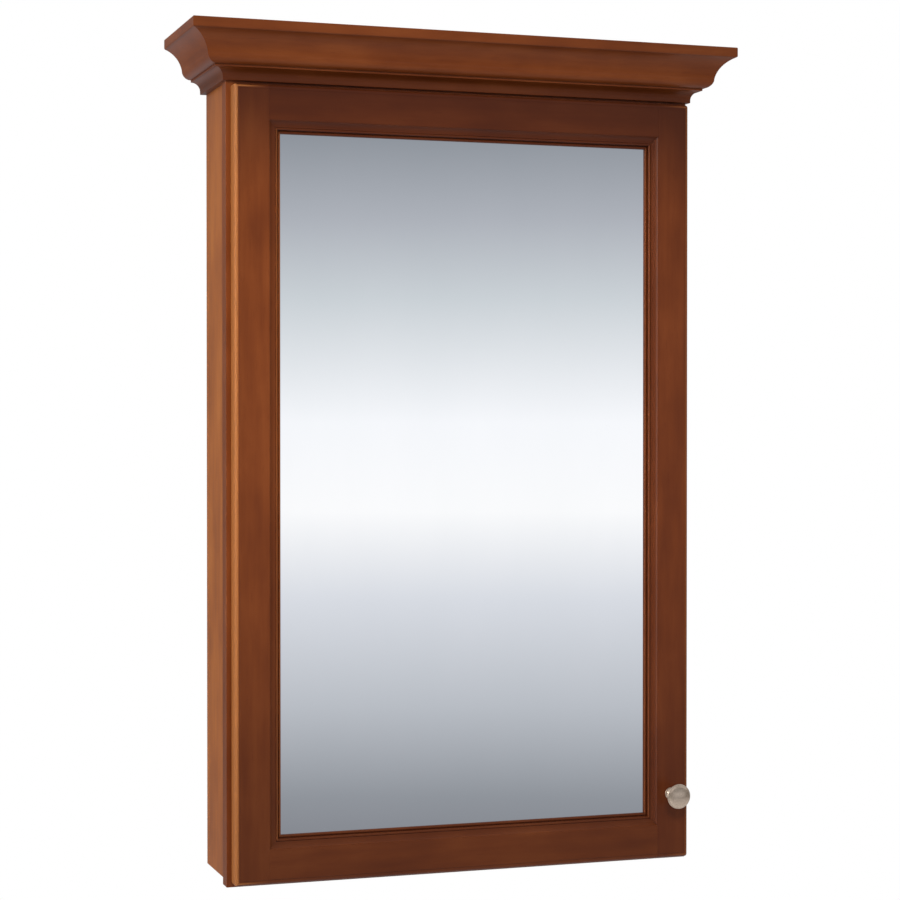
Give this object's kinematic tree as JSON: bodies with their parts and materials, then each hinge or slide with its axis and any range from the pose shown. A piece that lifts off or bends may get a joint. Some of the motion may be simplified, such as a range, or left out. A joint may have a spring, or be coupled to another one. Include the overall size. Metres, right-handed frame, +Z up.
{
  "type": "medicine cabinet",
  "caption": "Wall-mounted medicine cabinet with a crown moulding, a framed mirror door on concealed hinges, a round knob and shelves that lift off their pins.",
  "frame": {"origin": "centre of the rear face of the back panel, on the wall plane, half way up the whole height", "axes": "+Z up, +X to the right of a person facing the mirror, +Y into the wall, so the front faces -Y"},
  "size_m": [0.641, 0.1625, 0.9462],
  "materials": {
    "stained_wood": "satin lacquer over a reddish brown stain",
    "inner_wood": "clear satin, light birch",
    "mirror": "silvered float glass",
    "backing_board": "hardboard",
    "retainer_strip": "brown, matt",
    "steel": "nickel-plated pressed steel",
    "satin_nickel": "satin nickel",
    "bumper": "clear soft plastic"
  },
  "bodies": {
    "cabinet": {"left_side_panel": "stained_wood", "right_side_panel": "stained_wood", "top_panel": "inner_wood", "bottom_panel": "inner_wood", "back_panel": "inner_wood", "upper_hanging_rail": "inner_wood", "lower_hanging_rail": "inner_wood", "face_frame_left_stile": "stained_wood", "face_frame_right_stile": "stained_wood", "face_frame_top_rail": "stained_wood", "face_frame_bottom_rail": "stained_wood", "crown_front": "stained_wood", "crown_left_return": "stained_wood", "crown_right_return": "stained_wood", "crown_glue_blocks": "inner_wood", "shelf_pins": "satin_nickel", "upper_hinge_arm": "steel", "lower_hinge_arm": "steel", "hinge_arm_screws": "steel", "hinge_arm_pins": "steel"},
    "hinge_links": {"upper_hinge_link": "steel", "lower_hinge_link": "steel"},
    "door": {"hinge_cup_pins": "steel", "door_left_stile": "stained_wood", "door_right_stile": "stained_wood", "door_top_rail": "stained_wood", "door_bottom_rail": "stained_wood", "mirror_glass": "mirror", "mirror_backing": "backing_board", "mirror_stop_strips": "retainer_strip", "retainer_clips": "steel", "retainer_screws": "steel", "upper_hinge_cup": "steel", "lower_hinge_cup": "steel", "hinge_cup_screws": "steel", "knob": "satin_nickel", "knob_screw": "steel", "door_bumpers": "bumper"},
    "upper_shelf_board": {"upper_shelf": "inner_wood"},
    "lower_shelf_board": {"lower_shelf": "inner_wood"}
  },
  "joints": [
    {"name": "link_swing", "type": "hinge", "parent": "cabinet", "child": "hinge_links", "pos_m": [-0.237, -0.12, 0], "axis": [0, 0, 1], "range_deg": [0, 44.1]},
    {"name": "door_swing", "type": "hinge", "parent": "hinge_links", "child": "door", "pos_m": [-0.258, -0.12, 0], "axis": [0, 0, -1], "range_deg": [0, 149.4]},
    {"name": "upper_shelf_lift", "type": "slide", "parent": "cabinet", "child": "upper_shelf_board", "axis": [0, 0, 1], "range_m": [0, 0.03]},
    {"name": "lower_shelf_lift", "type": "slide", "parent": "cabinet", "child": "lower_shelf_board", "axis": [0, 0, 1], "range_m": [0, 0.03]}
  ],
  "couplings": [
    {"joint": "door_swing", "follows": "link_swing", "ratio": 3.381}
  ]
}
